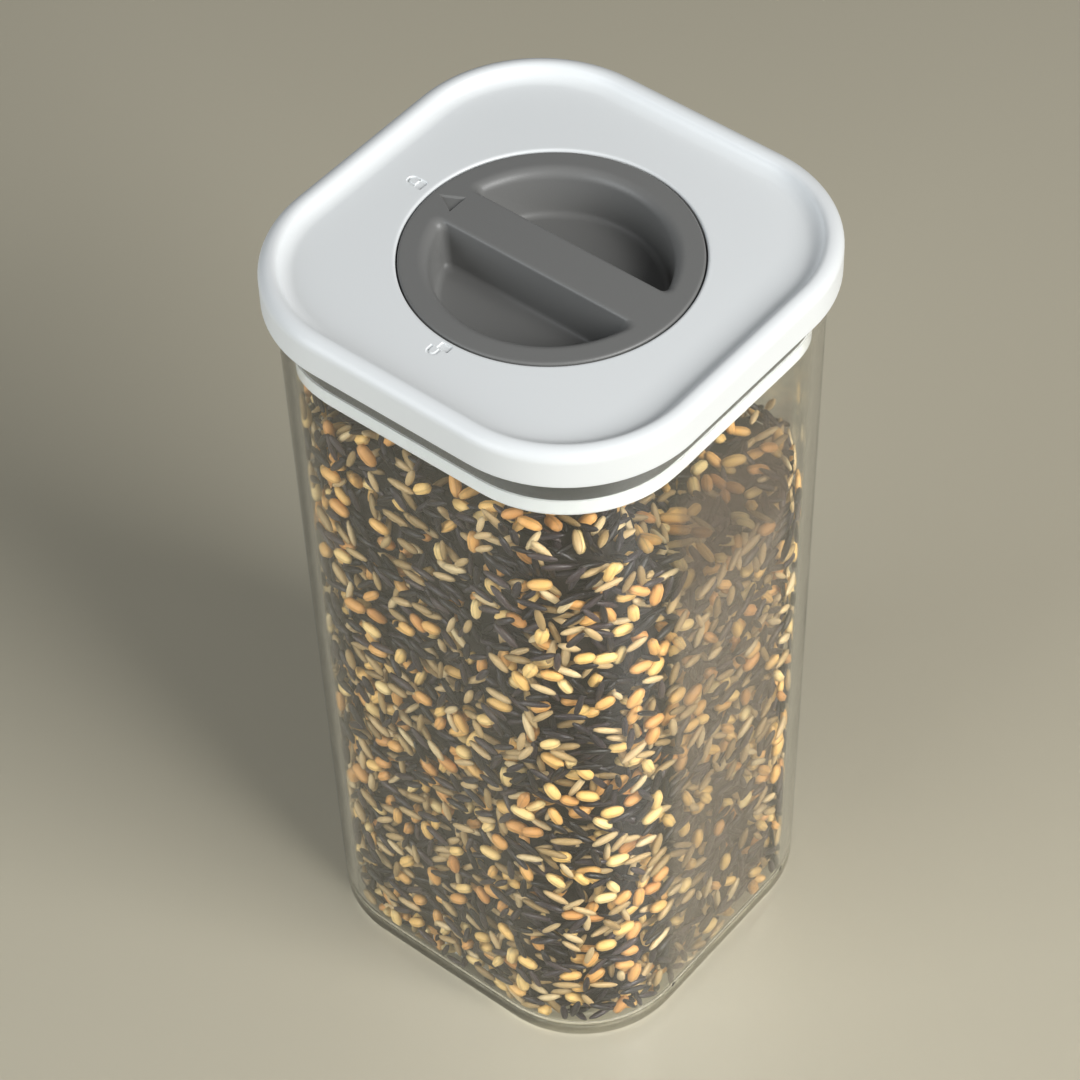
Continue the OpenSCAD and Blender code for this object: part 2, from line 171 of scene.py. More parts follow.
def mesh_piece(name, part, material, crease=32):
    """A mesh object from points and faces, in millimetres, shaded smooth up to the crease."""
    points, faces = part
    mesh = bpy.data.meshes.new(name)
    sizes = np.concatenate([np.full(len(f), f.shape[1]) for f in faces])
    corners = np.concatenate([f.ravel() for f in faces])
    mesh.vertices.add(len(points))
    mesh.vertices.foreach_set("co", (points * millimetre).ravel())
    mesh.loops.add(len(corners))
    mesh.loops.foreach_set("vertex_index", corners)
    mesh.polygons.add(len(sizes))
    mesh.polygons.foreach_set("loop_start", np.cumsum(sizes) - sizes)
    mesh.update(calc_edges=True)
    mesh.validate()
    smoothed(mesh, crease)
    mesh.materials.append(material)
    piece = bpy.data.objects.new(name, mesh)
    bpy.context.scene.collection.objects.link(piece)
    return piece


lid_corner_r = 32
lid_half = cad_size("lid_cover")[1][0]
corner_at = lid_half - lid_corner_r
path = corner_path(corner_at)

wall = 2.5
draft = math.tan(math.radians(0.75))
floor_t = 2.5
foot_r = 3
floor_r = 4
lip_r = 0.8
dish_inset = 4.5
dish_depth = 0.8
mouth_z = cad_size("canister")[1][2]
mouth_reach = cad_size("canister")[1][0] - corner_at


def bore_reach(z):
    """Reach of the canister's inner wall at a height: it narrows downwards by the draft."""
    return mouth_reach - wall - (mouth_z - z) * draft


foot_reach = bore_reach(foot_r) + wall - foot_r
floor_reach = bore_reach(floor_t + floor_r) - floor_r
dish_reach = foot_reach - dish_inset
canister_profile = np.concatenate([
    [[dish_reach - dish_depth - 0.5, dish_depth]],
    [[dish_reach - dish_depth, dish_depth]],
    [[dish_reach, 0]],
    arc(foot_reach, foot_r, foot_r, -90, 0, 10),
    arc(mouth_reach - lip_r, mouth_z - lip_r, lip_r, 0, 90, 6),
    arc(mouth_reach - wall + lip_r, mouth_z - lip_r, lip_r, 90, 180, 6),
    arc(floor_reach, floor_t + floor_r, floor_r, 0, -90, 10),
    [[floor_reach - 0.5, floor_t]]])

# Clear styrene plastic, moulded against polished steel: no colour of its own, sharp
# reflections, and light passes to what is inside without a dark shadow.
clear_plastic = new_material("clear styrene plastic, polished mould")
place = add(clear_plastic, "ShaderNodeTexCoord")
ripple = add(clear_plastic, "ShaderNodeTexNoise", {"Scale": 30, "Detail": 1},
             {"Vector": place.outputs["Object"]})
flow = add(clear_plastic, "ShaderNodeBump", {"Strength": 0.04, "Distance": millimetre},
           {"Height": ripple.outputs["Fac"]})
body = add(clear_plastic, "ShaderNodeBsdfPrincipled",
           {"Base Color": colour("#f4f4f1"), "Roughness": 0.02, "IOR": 1.5, "Transmission Weight": 1},
           {"Normal": flow.outputs["Normal"]})
passing = add(clear_plastic, "ShaderNodeBsdfTransparent", {"Color": colour("#fafaf8")})
ray = add(clear_plastic, "ShaderNodeLightPath")
either = add(clear_plastic, "ShaderNodeMixShader",
             links={0: ray.outputs["Is Shadow Ray"], 1: body.outputs[0], 2: passing.outputs[0]})
add(clear_plastic, "ShaderNodeOutputMaterial", links={"Surface": either.outputs[0]})

canister = mesh_piece("clear_canister", skin(swept(held(canister_profile), path), first=True, last=True),
                      clear_plastic)
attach(canister, "canister")
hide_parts("canister")


# Grain
# A dry mix of slim black rice, slim husked brown rice and plump golden wheat. It was poured
# in from one side, so it lies high along the front wall and falls away to the others. Its
# top stays clear of the lid's plate when that is let down.

rng = np.random.default_rng(7)
plate_travel = 2.5
heap_peak = np.array([-8, -50])
heap_spread = np.array([53, 40])
heap_low = 140
heap_edge = 1.16
heap_softness = 0.18
heap_clearance = 5.5
heap_rise = cad_size("pressure_plate")[0][2] - plate_travel - heap_clearance - heap_low


def heap_height(x, y):
    """Height of the grain's surface: heap_low + heap_rise / (1 + e^((r - edge) / softness)),
    with r the distance from the peak in spreads, and slow waves of up to 2 mm."""
    r = np.hypot((x - heap_peak[0]) / heap_spread[0], (y - heap_peak[1]) / heap_spread[1])
    waves = 1.4 * np.sin(0.19 * x + 0.4) * np.cos(0.23 * y) + 0.6 * np.sin(0.41 * x - 0.37 * y)
    return heap_low + heap_rise / (1 + np.exp((r - heap_edge) / heap_softness)) + waves


# Half length, half width and half thickness of a grain, how full its ends are, its share of
# the mix, and its colours from dark to light
grain_kinds = {
    "black_rice": ([3.4, 0.85, 0.75], 2.2, 0.50, ["#131012", "#1e1a1d", "#2e282e", "#453a3c"]),
    "brown_rice": ([3.3, 0.95, 0.8], 2.0, 0.28, ["#93794f", "#b79a6b", "#cdb082", "#dfc79a"]),
    "golden_wheat": ([2.75, 1.4, 1.25], 2.6, 0.22, ["#d49556", "#e9b066", "#f5c97a", "#f9dc9c"]),
}
sizes = np.array([kind[0] for kind in grain_kinds.values()])
shares = np.array([kind[2] for kind in grain_kinds.values()])


def settle(width, height, tries, deepest, wraps, allowed):
    """Lays grains on a flat sheet one by one and lists each one's kind, place, turn, size and
    depth. A grain goes to the emptiest of a few random places. It is an ellipsoid lying flat,
    and its depth is the least that keeps its near side clear of all that lies there: the most
    of surface - (thickness - bulge) under it, where bulge = thickness × √(1 - (x/a)² - (y/b)²)."""
    cell = 0.45
    columns, rows = int(width / cell), int(height / cell)
    surface = np.zeros((columns, rows), np.float32)
    # 9 cells each way are more than half of the longest grain
    span = np.arange(-9, 10)
    near_u, near_v = np.meshgrid(span * cell, span * cell, indexing="ij")
    places_tried = 5
    picks = rng.choice(len(sizes), tries, p=shares)
    turns = rng.normal(0, 0.95, tries)
    swells = rng.uniform(0.82, 1.12, (tries, 3))
    chances = rng.random((tries, places_tried, 2)) * [columns, rows]
    laid = []
    for pick, turn, swell, chance in zip(picks, turns, swells, chances.astype(int)):
        i, j = chance[np.argmin(surface[chance[:, 0], chance[:, 1]])]
        a, b, c = sizes[pick] * swell
        along = (near_u * math.cos(turn) + near_v * math.sin(turn)) / a
        across = (near_v * math.cos(turn) - near_u * math.sin(turn)) / b
        room = 1 - along ** 2 - across ** 2
        inside = room > 0
        columns_hit = (i + span)[:, None] + np.zeros_like(inside, int)
        rows_hit = (j + span)[None, :] + np.zeros_like(inside, int)
        columns_hit = columns_hit % columns if wraps else columns_hit
        inside &= (columns_hit >= 0) & (columns_hit < columns) & (rows_hit >= 0) & (rows_hit < rows)
        if not inside.any() or not allowed((i + 0.5) * cell, (j + 0.5) * cell):
            continue
        hit = (columns_hit[inside], rows_hit[inside])
        bulge = c * np.sqrt(room[inside])
        depth = max(0, (surface[hit] - c + bulge).max())
        if depth > deepest:
            continue
        surface[hit] = np.maximum(surface[hit], depth + c + bulge)
        laid.append((pick, (i + 0.5) * cell, (j + 0.5) * cell, turn, a, b, c, depth + c))
    return np.array(laid)


def spindle(fullness, around=6, along=5):
    """A closed grain of length 2 and thickness 2: rings of radius √(1 - |s|^fullness) at
    places s along it, between two poles. Gives its points, its quads and its triangles."""
    s = np.sin(np.linspace(-1, 1, along + 2)[1:-1] * np.pi / 2)
    radius = np.sqrt(1 - np.abs(s) ** fullness)
    turn = np.arange(around) * 2 * np.pi / around
    rings = np.stack([np.broadcast_to(s[:, None], (along, around)),
                      radius[:, None] * np.cos(turn), radius[:, None] * np.sin(turn)], 2).reshape(-1, 3)
    points = np.concatenate([rings, [[-1, 0, 0], [1, 0, 0]]])
    index = np.arange(along * around).reshape(along, around)
    following = np.roll(index, -1, 1)
    quads = np.stack([index[:-1], index[1:], following[1:], following[:-1]], -1).reshape(-1, 4)
    tail = np.stack([index[0], following[0], np.full(around, along * around)], -1)
    head = np.stack([following[-1], index[-1], np.full(around, along * around + 1)], -1)
    return points, quads, np.concatenate([tail, head])


def grain_piece(name, kind, centres, axes, half_sizes, material):
    """Many grains of one kind as one mesh: centre + the spindle's coordinates × half sizes,
    along each grain's own three axes. Each grain keeps one random tone, and each point its
    place along and across the grain, as attributes."""
    template, quads, triangles = spindle(grain_kinds[kind][1])
    local = template[None] * half_sizes[:, None, :]
    points = centres[:, None, :] + np.einsum("npk,nkd->npd", local, axes)
    step = (np.arange(len(centres)) * len(template))[:, None, None]
    faces = [(quads[None] + step).reshape(-1, 4), (triangles[None] + step).reshape(-1, 3)]
    piece = mesh_piece(name, (points.reshape(-1, 3), faces), material, crease=180)
    tone = piece.data.attributes.new("tone", "FLOAT", "POINT")
    tone.data.foreach_set("value", np.repeat(rng.random(len(centres)), len(template)).astype(np.float32))
    spot = piece.data.attributes.new("spot", "FLOAT_VECTOR", "POINT")
    spot.data.foreach_set("vector", np.tile(template, (len(centres), 1)).astype(np.float32).ravel())
    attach(piece, "canister")


def turned_axes(turn, tilt, first, second, third):
    """A grain's axes from two directions of the sheet it lies on and the way out of it: turned
    in the sheet by one angle, and its length then tilted out of it by another."""
    along = np.cos(turn)[:, None] * first + np.sin(turn)[:, None] * second
    across = np.cos(turn)[:, None] * second - np.sin(turn)[:, None] * first
    length = np.cos(tilt)[:, None] * along + np.sin(tilt)[:, None] * third
    thick = np.cos(tilt)[:, None] * third - np.sin(tilt)[:, None] * along
    return np.stack([length, across, thick], 1)


def wall_place(u, reach):
    """Base point and outward direction at a distance u round the inside, for a corner radius:
    each quarter is one corner of reach × 90° and one straight side."""
    corner_length = reach * np.pi / 2
    quarter_length = corner_length + 2 * corner_at
    quarter = np.floor(u / quarter_length)
    rest = u - quarter * quarter_length
    turn = np.minimum(rest / reach, np.pi / 2)
    slide = np.maximum(rest - corner_length, 0)
    x, y = corner_at - slide, np.full_like(slide, corner_at)
    out_x, out_y = np.cos(turn), np.sin(turn)
    c, s = np.cos(quarter * np.pi / 2), np.sin(quarter * np.pi / 2)
    return (np.stack([c * x - s * y, s * x + c * y], -1),
            np.stack([c * out_x - s * out_y, s * out_x + c * out_y], -1))


# Grain against the walls, seen through them. It is laid on a flat sheet that is as wide as
# the way round the inside at mid height, and then wrapped.
middle_height = 100
wall_reach = bore_reach(middle_height) - 1
around_inside = 4 * (wall_reach * np.pi / 2 + 2 * corner_at)
bend_length = floor_r * np.pi / 2
grain_low = floor_t + floor_r - bend_length
sheet_height = heap_low + heap_rise + 3 - grain_low
wall_gap = 0.08
loose_tilt = 0.2


def below_heap(u, v):
    """Whether a place on the wall's sheet is at least 1 mm below the heap's surface there."""
    base, outward = wall_place(np.array([u]), wall_reach)
    x, y = (base + outward * (wall_reach - 2))[0]
    return v + grain_low < heap_height(x, y) - 1


laid = settle(around_inside, sheet_height, tries=15000, deepest=3.6, wraps=True, allowed=below_heap)
kind_of, u, v, turn, a, b, c, depth = laid.T
base, outward = wall_place(u, wall_reach)
# The sheet runs straight down the wall and bends under along the floor's round edge
bend = np.clip((bend_length - v) / floor_r, 0, np.pi / 2)
# A straight grain stands off a round corner by its length² / (8 × radius), and off the
# floor's tight edge by a little less
in_corner = np.abs(np.abs(outward).sum(1) - 1) > 0.001
stand_off = wall_gap + in_corner * (a * np.cos(turn)) ** 2 / (2 * wall_reach)
stand_off += (bend > 0) * (a * np.sin(turn)) ** 2 / (2 * floor_r + 2)
# Grains that lie on others are tilted a little, and lifted so that their ends stay inside
tilt = np.where(depth > c + 0.3, rng.normal(0, loose_tilt, len(u)), 0)
lift = np.abs(np.sin(tilt)) * a * 0.6
inset = depth + stand_off + lift
above_bend = np.maximum(v - bend_length, 0)
reach = bore_reach(floor_t + floor_r + above_bend) - floor_r + (floor_r - inset) * np.cos(bend)
height = floor_t + floor_r + above_bend - (floor_r - inset) * np.sin(bend)
reach = np.where(bend > 0, reach, bore_reach(height) - inset)
wall_centres = np.column_stack([base + outward * reach[:, None], height])
out_3d = np.column_stack([outward * np.cos(bend)[:, None], -np.sin(bend)])
level = np.column_stack([-outward[:, 1], outward[:, 0], np.zeros(len(u))])
upright = np.column_stack([outward * np.sin(bend)[:, None], np.cos(bend)])
wall_axes = turned_axes(turn, tilt, level, upright, out_3d)
wall_sizes = np.stack([a, b, c], 1)

# Grain on the heap's surface and on the floor, seen from above and from below
sheet_width = 2 * (corner_at + wall_reach)


def within(reach):
    """A test for places on a level sheet: whether one lies inside a square with round corners
    of that reach."""
    def allowed(u, v):
        x, y = u - sheet_width / 2, v - sheet_width / 2
        return np.hypot(max(abs(x) - corner_at, 0), max(abs(y) - corner_at, 0)) < reach
    return allowed


laid_top = settle(sheet_width, sheet_width, tries=5200, deepest=3.3, wraps=False,
                  allowed=within(wall_reach - 2.6))
laid_floor = settle(sheet_width, sheet_width, tries=2400, deepest=2.4, wraps=False,
                    allowed=within(wall_reach - floor_r - 2))


def lying(laid, height_of, loose):
    """Kinds, centres, axes and half sizes of grains that lie on a surface: each one's height
    is the surface's and its depth in the sheet. The turns are doubled, so that grains lie in
    all directions."""
    kind, u, v, turn, a, b, c, depth = laid.T
    x, y = u - sheet_width / 2, v - sheet_width / 2
    z = height_of(x, y) + depth
    tilt = rng.normal(0, loose, len(u))
    axes = turned_axes(turn * 2, tilt, *np.eye(3))
    return kind, np.stack([x, y, z], 1), axes, np.stack([a, b, c], 1)


surface_drop = 3.4
floor_gap = 0.1
front = wall_centres[:, 1] < 0
wall_grains = (kind_of, wall_centres, wall_axes, wall_sizes)
laid_grains = {
    "front": [part[front] for part in wall_grains],
    "back": [part[~front] for part in wall_grains],
    "surface": lying(laid_top, lambda x, y: heap_height(x, y) - surface_drop, loose=0.35),
    "floor": lying(laid_floor, lambda x, y: np.full_like(x, floor_t + floor_gap), loose=0),
}

# Husk, bran and polished skins: dull wax-like sheen, one tone for each grain, darker towards
# the tips, and painted shade in a line down the middle of each grain, darkest as the crease of wheat
for number, (kind, (*_, tones)) in enumerate(grain_kinds.items()):
    husk = new_material(kind.replace("_", " ") + ", dry")
    tone = add(husk, "ShaderNodeAttribute", attribute_name="tone")
    spot = add(husk, "ShaderNodeAttribute", attribute_name="spot")
    parts = add(husk, "ShaderNodeSeparateXYZ", links={"Vector": spot.outputs["Vector"]})
    ramp = add(husk, "ShaderNodeValToRGB", links={"Fac": tone.outputs["Fac"]})
    ramp.color_ramp.elements[0].color = colour(tones[0])
    ramp.color_ramp.elements[1].color = colour(tones[3])
    ramp.color_ramp.elements.new(0.35).color = colour(tones[1])
    ramp.color_ramp.elements.new(0.7).color = colour(tones[2])
    tip = add(husk, "ShaderNodeMath", links={0: parts.outputs["X"]}, operation="ABSOLUTE")
    fade = add(husk, "ShaderNodeMapRange", {"From Min": 0.6, "From Max": 1, "To Min": 1, "To Max": 0.62},
               {"Value": tip.outputs[0]})
    middle = add(husk, "ShaderNodeMath", links={0: parts.outputs["Y"]}, operation="ABSOLUTE")
    # The darker line down a grain's middle is painted shade of a crease
    crease_shade_tone = 0.7 if kind == "golden_wheat" else 0.9
    crease = add(husk, "ShaderNodeMapRange",
                 {"From Min": 0, "From Max": 0.22, "To Min": crease_shade_tone, "To Max": 1},
                 {"Value": middle.outputs[0]})
    shade = add(husk, "ShaderNodeMath", links={0: fade.outputs[0], 1: crease.outputs[0]},
                operation="MULTIPLY")
    # Sockets 6 and 7 of a Mix node in colour mode are its colours A and B
    shaded = add(husk, "ShaderNodeMix", {"Factor": 1.0},
                 {6: ramp.outputs["Color"], 7: shade.outputs[0]},
                 data_type="RGBA", blend_type="MULTIPLY")
    skin_shader = add(husk, "ShaderNodeBsdfPrincipled",
                      {"Roughness": 0.38 if kind == "black_rice" else 0.5, "IOR": 1.45},
                      {"Base Color": shaded.outputs[2]})
    add(husk, "ShaderNodeOutputMaterial", links={"Surface": skin_shader.outputs[0]})
    for area, (kinds, *shape) in laid_grains.items():
        centres, axes, half_sizes = [part[kinds == number] for part in shape]
        grain_piece(f"{kind}_{area}", kind, centres, axes, half_sizes, husk)

# The grain that lies too deep to see, as one dark body: a wall, and a top that follows the
# heap's surface in rings that shrink towards the middle
core_reach = wall_reach - 4.2
core_low = floor_t + 3
core_wall = swept([[core_reach - 1, core_low], [core_reach, core_low + 2]], path)
ring_scale = np.array([1, 0.8, 0.6, 0.4, 0.2, 0.02])[:, None, None]
core_flat = (path[0] + core_reach * path[1]) * ring_scale
core_height = heap_height(core_flat[..., 0], core_flat[..., 1]) - surface_drop - 1
core_top = np.concatenate([core_flat, core_height[..., None]], 2)
deep_grain = new_material("grain in deep shade")
deep_place = add(deep_grain, "ShaderNodeTexCoord")
grain_scale = add(deep_grain, "ShaderNodeTexVoronoi", {"Scale": 1 / (4 * millimetre)},
                  {"Vector": deep_place.outputs["Object"]})
deep_ramp = add(deep_grain, "ShaderNodeValToRGB", links={"Fac": grain_scale.outputs["Distance"]})
deep_ramp.color_ramp.elements[0].color = colour("#2c2622")
deep_ramp.color_ramp.elements[1].color = colour("#131011")
deep_shader = add(deep_grain, "ShaderNodeBsdfPrincipled", {"Roughness": 0.8},
                  {"Base Color": deep_ramp.outputs[0]})
add(deep_grain, "ShaderNodeOutputMaterial", links={"Surface": deep_shader.outputs[0]})
deep_grain_body = mesh_piece("grain_body", skin(np.concatenate([core_wall, core_top]),
                                                first=True, last=True), deep_grain)
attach(deep_grain_body, "canister")

# Painted shade and haze on the inside of the right wall: a brown film, thick and dark above the grain's
# surface, where it stands for the shaded inside under the lid, thin and pale below it, where it lies over
# the grain as a painted haze, and faded out at its sides and top
film_gap = 0.06
film_low, film_high = floor_t + floor_r, 184
film_columns, film_rows = 13, 41
side_fade_width = 2.5
top_fade_height = 14
film_y, film_z = np.meshgrid(np.linspace(-1, 1, film_columns) * corner_at,
                             np.linspace(film_low, film_high, film_rows))
film_points = np.stack([corner_at + bore_reach(film_z) - film_gap, film_y, film_z], -1)
film_index = np.arange(film_rows * film_columns).reshape(film_rows, film_columns)
film_faces = np.stack([film_index[:-1, :-1], film_index[:-1, 1:],
                       film_index[1:, 1:], film_index[1:, :-1]], -1)
painted_shade_and_haze = new_material("painted shade and haze, thin film")
film_place = add(painted_shade_and_haze, "ShaderNodeTexCoord")
film_parts = add(painted_shade_and_haze, "ShaderNodeSeparateXYZ", links={"Vector": film_place.outputs["Object"]})
above_grain = add(painted_shade_and_haze, "ShaderNodeMapRange",
                  {"From Min": (heap_low - 3) * millimetre, "From Max": (heap_low + 8) * millimetre},
                  {"Value": film_parts.outputs["Z"]})
# The film's colour: dark brown above the grain is painted shade, and pale brown below it is a painted haze
# over the grain
film_tint = add(painted_shade_and_haze, "ShaderNodeValToRGB", links={"Fac": above_grain.outputs[0]})
film_tint.color_ramp.elements[0].color = colour("#847567")
film_tint.color_ramp.elements[1].color = colour("#443429")
film_patches = add(painted_shade_and_haze, "ShaderNodeTexNoise", {"Scale": 60, "Detail": 3},
             {"Vector": film_place.outputs["Object"]})
film_patch_depth = add(painted_shade_and_haze, "ShaderNodeMapRange",
                  {"From Min": 0.3, "From Max": 0.7, "To Min": 0.26, "To Max": 0.4},
                  {"Value": film_patches.outputs["Fac"]})
film_depth = add(painted_shade_and_haze, "ShaderNodeMath", {1: 0.3},
                 {0: above_grain.outputs[0], 2: film_patch_depth.outputs[0]}, operation="MULTIPLY_ADD")
aside = add(painted_shade_and_haze, "ShaderNodeMath", links={0: film_parts.outputs["Y"]}, operation="ABSOLUTE")
side_fade = add(painted_shade_and_haze, "ShaderNodeMapRange",
                {"From Min": (corner_at - side_fade_width) * millimetre,
                 "From Max": corner_at * millimetre, "To Min": 1, "To Max": 0},
                {"Value": aside.outputs[0]})
top_fade = add(painted_shade_and_haze, "ShaderNodeMapRange",
               {"From Min": (film_high - top_fade_height) * millimetre,
                "From Max": film_high * millimetre, "To Min": 1, "To Max": 0},
               {"Value": film_parts.outputs["Z"]})
film_fade = add(painted_shade_and_haze, "ShaderNodeMath", links={0: side_fade.outputs[0], 1: top_fade.outputs[0]},
                operation="MULTIPLY")
film_cover = add(painted_shade_and_haze, "ShaderNodeMath", links={0: film_fade.outputs[0], 1: film_depth.outputs[0]},
                 operation="MULTIPLY")
film_shader = add(painted_shade_and_haze, "ShaderNodeBsdfPrincipled", {"Roughness": 0.9},
                  {"Base Color": film_tint.outputs[0], "Alpha": film_cover.outputs[0]})
add(painted_shade_and_haze, "ShaderNodeOutputMaterial", links={"Surface": film_shader.outputs[0]})
painted_shade_film = mesh_piece("painted_shade_film", (film_points.reshape(-1, 3), [film_faces.reshape(-1, 4)]),
                       painted_shade_and_haze)
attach(painted_shade_film, "canister")


# Lid cover
# The white top shell, one moulding in satin ABS. Its rim stands above a flat top, with a
# stepped hole for the knob, and ribs and four screw bosses under it.


def round_rows(profile, path, seen_at):
    """Circles of (radius, height), at the angles at which the path's points are seen from the
    middle, so that a round edge and a squarish one share their columns."""
    flat = path[0] + seen_at * path[1]
    unit = flat / np.hypot(*flat.T)[:, None]
    return swept(profile, (np.zeros_like(unit), unit))


def moulded(name, base, roughness, grain=0.12, depth=0.1):
    """Moulded plastic: one colour with a fine spark-eroded grain, a size in millimetres. The
    noise starts three grains wide, and its two finer layers halve that twice."""
    plastic = new_material(name)
    place = add(plastic, "ShaderNodeTexCoord")
    noise = add(plastic, "ShaderNodeTexNoise", {"Scale": 1 / (grain * 3 * millimetre), "Detail": 2},
                {"Vector": place.outputs["Object"]})
    bump = add(plastic, "ShaderNodeBump", {"Strength": depth, "Distance": 0.2 * millimetre},
               {"Height": noise.outputs["Fac"]})
    sheen = add(plastic, "ShaderNodeMapRange", {"To Min": roughness - 0.03, "To Max": roughness + 0.05},
                {"Value": noise.outputs["Fac"]})
    surface = add(plastic, "ShaderNodeBsdfPrincipled", {"Base Color": colour(base), "IOR": 1.5},
                  {"Roughness": sheen.outputs[0], "Normal": bump.outputs["Normal"]})
    add(plastic, "ShaderNodeOutputMaterial", links={"Surface": surface.outputs[0]})
    return plastic


# Satin white ABS: bright, with soft wide highlights
white_abs = moulded("white ABS, satin", "#e9ecec", 0.34)

overall_height = cad_size("lid_cover")[1][2]
plate_z = cad_size("knob")[1][2]
knob_r = cad_size("knob")[1][0]
rim_edge_r = 2.8
rim_crest_r = 1.6
rim_hollow_r = 3.4
rim_rise = overall_height - plate_z
rim_fall = math.degrees(math.acos(1 - rim_rise / (rim_crest_r + rim_hollow_r)))
crest_at = lid_corner_r - rim_edge_r
hollow_at = crest_at - (rim_crest_r + rim_hollow_r) * math.sin(math.radians(rim_fall))
skirt_t = 1.8
skirt_z = plate_z - 6.1
skirt_edge_r = 0.35
cover_under = plate_z - 2
knob_gap = 0.35
hole_r = knob_r + knob_gap
hole_edge = 0.7
hole_wall = 2
ledge_top = plate_z - 3.5
ledge_under = ledge_top - 1.5
ledge_r = 28.7

lid_outside = np.concatenate([
    arc(lid_corner_r - skirt_edge_r, skirt_z + skirt_edge_r, skirt_edge_r, -90, 0, 4),
    arc(crest_at, overall_height - rim_edge_r, rim_edge_r, 0, 90, 14),
    arc(crest_at, overall_height - rim_crest_r, rim_crest_r, 90, 90 + rim_fall, 10),
    arc(hollow_at, plate_z + rim_hollow_r, rim_hollow_r, rim_fall - 90, -90, 12),
    [[hollow_at - 0.5, plate_z]]])
hole_inside = np.concatenate([
    [[hole_r + hole_edge + 0.3, plate_z]],
    arc(hole_r + hole_edge, plate_z - hole_edge, hole_edge, 90, 180, 6),
    [[hole_r, ledge_top], [ledge_r, ledge_top], [ledge_r, ledge_under], [hole_r + hole_wall, ledge_under],
     [hole_r + hole_wall, cover_under]]])
lid_inside = np.array([[lid_corner_r - skirt_t, cover_under], [lid_corner_r - skirt_t, skirt_z]])
lid_rows = np.concatenate([swept(held(lid_outside), path), round_rows(held(hole_inside), path, hollow_at),
                           swept(held(lid_inside), path)])


def turned(points, degrees):
    """Points turned about the upright axis."""
    c, s = math.cos(math.radians(degrees)), math.sin(math.radians(degrees))
    return np.asarray(points) @ np.array([[c, s, 0], [-s, c, 0], [0, 0, 1]])


def box_part(low, high):
    """A box between two corners."""
    low, high = np.array(low, float), np.array(high, float)
    corners = [[low[0], low[1]], [high[0], low[1]], [high[0], high[1]], [low[0], high[1]]]
    rows = np.array([[[x, y, z] for x, y in corners] for z in (low[2], high[2])])
    return skin(rows, first=True, last=True)


def turning(profile, steps=48, centre=(0, 0)):
    """A profile of (radius, height) turned about an upright axis: radius × (cos, sin)."""
    turn = np.arange(steps) * 2 * np.pi / steps
    unit = np.stack([np.cos(turn), np.sin(turn)], 1)
    return swept(profile, (np.tile(centre, (steps, 1)).astype(float), unit))


# Eight ribs run outwards under the top, four of them to the screws' bosses. Ribs and bosses
# reach a little way into the top.
frame_reach = bore_reach(cad_size("gasket")[1][2]) - 0.5
web_top = cad_size("lid_cover")[0][2]
web_end = cover_under + 0.1
screw_head_r = 2
post_at = (cad_size("frame_screws")[1][0] - screw_head_r) * math.sqrt(2)
boss_r = 3
boss_bore_r = 1.05
boss_profile = [[boss_bore_r, web_top], [boss_r, web_top], [boss_r, web_end], [boss_bore_r, web_end]]
rib_half = 0.6
rib_low = cover_under - 2.2
rib_start = hole_r + 1
rib_end = corner_at + frame_reach - 2.8
lid_parts = [skin(lid_rows, ring=True)]
for degrees in range(0, 360, 45):
    end = post_at if degrees % 90 else rib_end
    points, faces = box_part([rib_start, -rib_half, rib_low], [end, rib_half, web_end])
    lid_parts.append((turned(points, degrees), faces))
    if degrees % 90:
        points, faces = skin(turning(boss_profile, 24, (post_at, 0)), ring=True)
        lid_parts.append((turned(points, degrees), faces))


def carved(piece, part):
    """Cuts a closed shape out of a piece."""
    cutter = mesh_piece("cutter", part, piece.data.materials[0])
    cut = piece.modifiers.new("cut", "BOOLEAN")
    cut.object = cutter
    cut.solver = "EXACT"
    bpy.context.view_layer.update()
    finished = bpy.data.meshes.new_from_object(piece.evaluated_get(bpy.context.evaluated_depsgraph_get()))
    piece.modifiers.clear()
    piece.data = finished
    bpy.data.objects.remove(cutter)


# Two plain padlock signs, engraved in the flat top beside the knob: closed where the pointer
# stands when locked, open a quarter turn on. Each level is a height from the flat top and how
# far the outline is drawn out there.
sign_levels = [(-0.36, -0.14), (-0.1, -0.04), (0.06, 0.08)]
lock_length = 2.1
lock_half = 1.45
lock_corner = 0.35
leg_length = 1.1
bend_r = 1.05
bar_half = 0.38


def lock_body(start, spread):
    """A rectangle with round corners, drawn out by a spread, that starts at a distance from
    the knob's axis."""
    long, wide = lock_length / 2 + spread, lock_half + spread
    corners = [(1, 1, 0), (-1, 1, 90), (-1, -1, 180), (1, -1, 270)]
    return np.concatenate([arc(start + lock_length / 2 + x * (long - lock_corner), y * (wide - lock_corner),
                               lock_corner, turn, turn + 90, 4) for x, y, turn in corners])


def lock_shackle(start, shift, spread):
    """A bar bent to a U, drawn out by a spread: a half ring round (centre, shift) between two
    straight legs that reach into the lock's body."""
    foot = start + lock_length - 0.2
    centre = start + lock_length + leg_length
    outer, inner = bend_r + bar_half + spread, bend_r - bar_half - spread
    return np.concatenate([[[foot - spread, shift - outer]], arc(centre, shift, outer, -90, 90, 16),
                           [[foot - spread, shift + outer], [foot - spread, shift + inner]],
                           arc(centre, shift, inner, 90, -90, 16), [[foot - spread, shift - inner]]])


def sign_cutter(outline, degrees):
    """A closed shape from an outline that is given for each spread, at rising levels."""
    rows = []
    for level, spread in sign_levels:
        flat = outline(spread)
        rows.append(np.column_stack([flat, np.full(len(flat), plate_z + level)]))
    points, faces = skin(np.array(rows), first=True, last=True)
    return turned(points, degrees), faces


lid_cover = mesh_piece("white_lid_cover", joined(lid_parts), white_abs)
